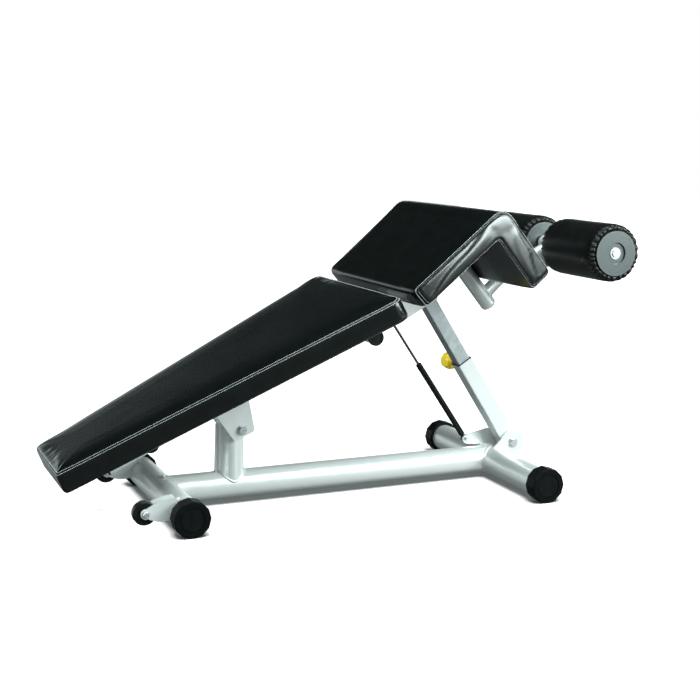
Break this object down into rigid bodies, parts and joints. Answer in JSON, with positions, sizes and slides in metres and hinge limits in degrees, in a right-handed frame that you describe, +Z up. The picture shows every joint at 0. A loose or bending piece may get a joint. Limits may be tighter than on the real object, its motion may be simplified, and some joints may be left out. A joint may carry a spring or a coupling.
{
  "type": "adjustable decline bench",
  "caption": "Adjustable decline bench: tapered back pad, inverted-V knee pad and foot rollers on a tubular base with a telescoping locking strut, gas spring and transport wheels.",
  "frame": {"origin": "on the floor, under the middle of the whole bench's outline", "axes": "+X along the bench from the low head end to the foot rollers, +Y across it towards the gas spring's side, +Z up"},
  "size_m": [1.4746, 0.64, 0.7444],
  "materials": {
    "frame_paint": "satin",
    "zinc_hardware": "satin",
    "zinc_steel": "satin",
    "foot_rubber": "satin",
    "cap_disc": "satin",
    "black_plastic": "satin",
    "wheel_plastic": "satin",
    "gas_black": "satin",
    "gas_rod_steel": "polished",
    "knob_yellow": "satin",
    "pad_board": "matte",
    "roller_core": "matte",
    "pad_vinyl": "satin",
    "roller_vinyl": "satin",
    "disc_aluminium": "satin"
  },
  "bodies": {
    "base": {"front_cross_tube": "frame_paint", "rear_cross_tube": "frame_paint", "main_tube": "frame_paint", "pivot_post": "frame_paint", "post_gusset": "frame_paint", "pivot_sleeve": "frame_paint", "pivot_bushes": "black_plastic", "foot_caps": "foot_rubber", "foot_cap_discs": "cap_disc", "wheel_brackets": "frame_paint", "wheel_bolts": "zinc_hardware", "base_nuts": "zinc_hardware", "clevis_plate_near": "frame_paint", "clevis_plate_far": "frame_paint", "clevis_bolt": "zinc_hardware", "clevis_spacers": "zinc_hardware", "gas_lower_bolt": "zinc_hardware"},
    "bench": {"bench_beam": "frame_paint", "beam_plug": "black_plastic", "thigh_beam": "frame_paint", "shin_tube": "frame_paint", "roller_arm": "frame_paint", "roller_hub": "frame_paint", "roller_axle": "zinc_steel", "axle_collars": "zinc_hardware", "axle_end_bolts": "zinc_hardware", "pad_supports": "frame_paint", "support_caps": "black_plastic", "pivot_fork": "frame_paint", "pivot_bolt": "zinc_hardware", "bench_nuts": "zinc_hardware", "strut_bracket": "frame_paint", "bracket_bolt": "zinc_hardware", "gas_upper_stud": "zinc_hardware", "back_pad_board": "pad_board", "back_pad_cushion": "pad_vinyl", "knee_pad_boards": "pad_board", "knee_pad_cushion": "pad_vinyl"},
    "strut_outer": {"strut_outer_tube": "frame_paint", "strut_bush": "black_plastic", "strut_guide": "black_plastic", "pin_housing": "zinc_steel", "lock_spring": "zinc_steel"},
    "strut_inner": {"strut_inner_tube": "zinc_steel", "strut_top_eye": "zinc_steel"},
    "pull_pin": {"lock_pin": "zinc_steel", "pull_knob": "knob_yellow"},
    "gas_body": {"gas_cylinder": "gas_black", "gas_lower_eye": "gas_black"},
    "gas_plunger": {"gas_rod": "gas_rod_steel", "gas_piston": "gas_rod_steel", "gas_upper_eye": "gas_black"},
    "wheel_near": {"transport_wheel_near": "wheel_plastic"},
    "wheel_far": {"transport_wheel_far": "wheel_plastic"},
    "roller_near": {"roller_core_near": "roller_core", "roller_discs_near": "disc_aluminium", "roller_pad_near": "roller_vinyl"},
    "roller_far": {"roller_core_far": "roller_core", "roller_discs_far": "disc_aluminium", "roller_pad_far": "roller_vinyl"}
  },
  "joints": [
    {"name": "bench_tilt", "type": "hinge", "parent": "base", "child": "bench", "pos_m": [-0.25216, 0, 0.196], "axis": [0, -1, 0], "range_deg": [-15, 3]},
    {"name": "strut_swing", "type": "hinge", "parent": "base", "child": "strut_outer", "pos_m": [0.53084, 0, 0.094], "axis": [0, -1, 0], "range_deg": [-0.7, 3.2]},
    {"name": "strut_slide", "type": "slide", "parent": "strut_outer", "child": "strut_inner", "axis": [-0.5299, 0, 0.848], "range_m": [-0.158, 0.032]},
    {"name": "gas_swing", "type": "hinge", "parent": "base", "child": "gas_body", "pos_m": [0.42084, 0.043, 0.0985], "axis": [0, -1, 0], "range_deg": [-0.4, 1.5]},
    {"name": "gas_slide", "type": "slide", "parent": "gas_body", "child": "gas_plunger", "axis": [-0.5503, 0, 0.8349], "range_m": [-0.1335, 0.0275]},
    {"name": "knob_pull", "type": "slide", "parent": "strut_outer", "child": "pull_pin", "axis": [0, 1, 0], "range_m": [-0.009, 0.004]},
    {"name": "roller_spin_near", "type": "hinge", "parent": "bench", "child": "roller_near", "pos_m": [0.66284, -0.18, 0.6325], "axis": [0, 1, 0], "continuous": true},
    {"name": "roller_spin_far", "type": "hinge", "parent": "bench", "child": "roller_far", "pos_m": [0.66284, 0.18, 0.6325], "axis": [0, 1, 0], "continuous": true},
    {"name": "wheel_spin_near", "type": "hinge", "parent": "base", "child": "wheel_near", "pos_m": [-0.54616, -0.21, 0.057], "axis": [0, 1, 0], "continuous": true},
    {"name": "wheel_spin_far", "type": "hinge", "parent": "base", "child": "wheel_far", "pos_m": [-0.54616, 0.21, 0.057], "axis": [0, 1, 0], "continuous": true}
  ],
  "couplings": [
    {"joint": "strut_swing", "follows": "bench_tilt", "ratio": -0.2055},
    {"joint": "strut_slide", "follows": "bench_tilt", "m_per_rad": 0.6013},
    {"joint": "gas_swing", "follows": "bench_tilt", "ratio": -0.088},
    {"joint": "gas_slide", "follows": "bench_tilt", "m_per_rad": 0.5057}
  ]
}
